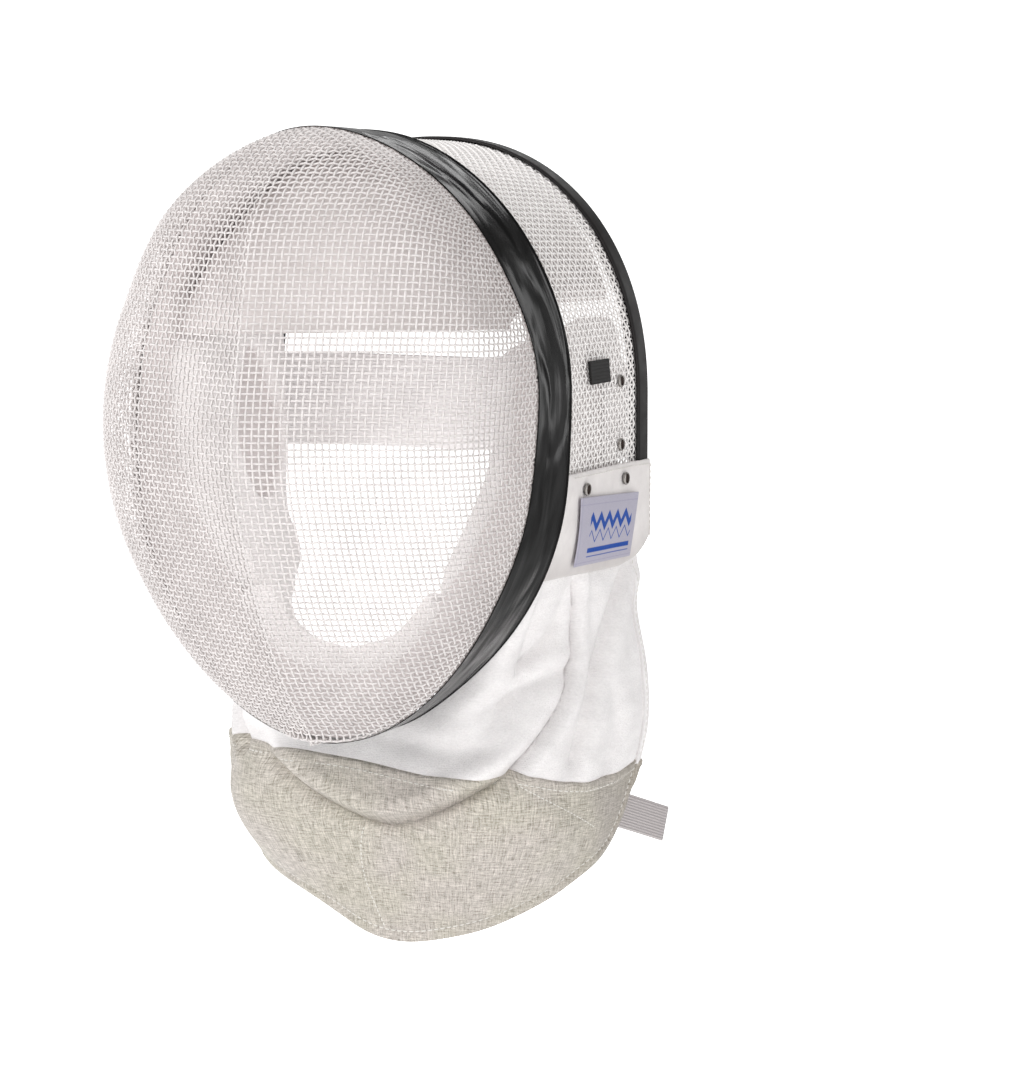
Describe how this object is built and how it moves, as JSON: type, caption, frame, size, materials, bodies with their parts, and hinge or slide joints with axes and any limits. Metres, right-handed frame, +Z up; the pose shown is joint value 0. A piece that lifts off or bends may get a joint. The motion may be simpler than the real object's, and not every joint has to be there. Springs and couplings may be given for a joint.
{
  "type": "fencing mask",
  "caption": "Fencing mask: domed wire face mesh with an upright ridge, black band, arched back mesh, padded lining and a bib with a conductive lower part.",
  "frame": {"origin": "the head seat: the middle of the crown pad's inner face, where the top of the head bears", "axes": "+Z up, -Y forwards out of the face mesh, +X the wearer's left; X = 0 is the plane of symmetry of the mesh and band"},
  "size_m": [0.2128, 0.263, 0.3873],
  "materials": {
    "wire_mesh": "white coated steel wire, satin",
    "band_black": "glossy black vinyl",
    "binding_black": "satin black rubber",
    "white_vinyl": "white coated cloth, fine grain",
    "label_cloth": "woven label, pale lavender with blue stripes",
    "tag_black": "plain black",
    "rivet_metal": "pressed metal",
    "white_cloth": "white padded cloth",
    "lame_cloth": "silvery beige conductive cloth",
    "pad_cloth": "grey white lining cloth",
    "strap_elastic": "woven elastic",
    "tab_webbing": "ribbed webbing"
  },
  "bodies": {
    "root": {"front_mesh": "wire_mesh", "back_mesh": "wire_mesh", "trim_band": "band_black", "rear_binding": "binding_black", "side_panel_left": "white_vinyl", "side_panel_right": "white_vinyl", "side_label": "label_cloth", "side_tag": "tag_black", "bib_upper": "white_cloth", "bib_lame": "lame_cloth", "crown_pad": "pad_cloth", "side_pad_left": "pad_cloth", "side_pad_right": "pad_cloth", "chin_pad": "pad_cloth", "head_strap": "strap_elastic", "clip_tab": "tab_webbing", "rivet_left_1": "rivet_metal", "rivet_left_2": "rivet_metal", "rivet_left_3": "rivet_metal", "rivet_left_4": "rivet_metal", "rivet_right_1": "rivet_metal", "rivet_right_2": "rivet_metal", "rivet_right_3": "rivet_metal", "rivet_right_4": "rivet_metal"}
  },
  "joints": []
}
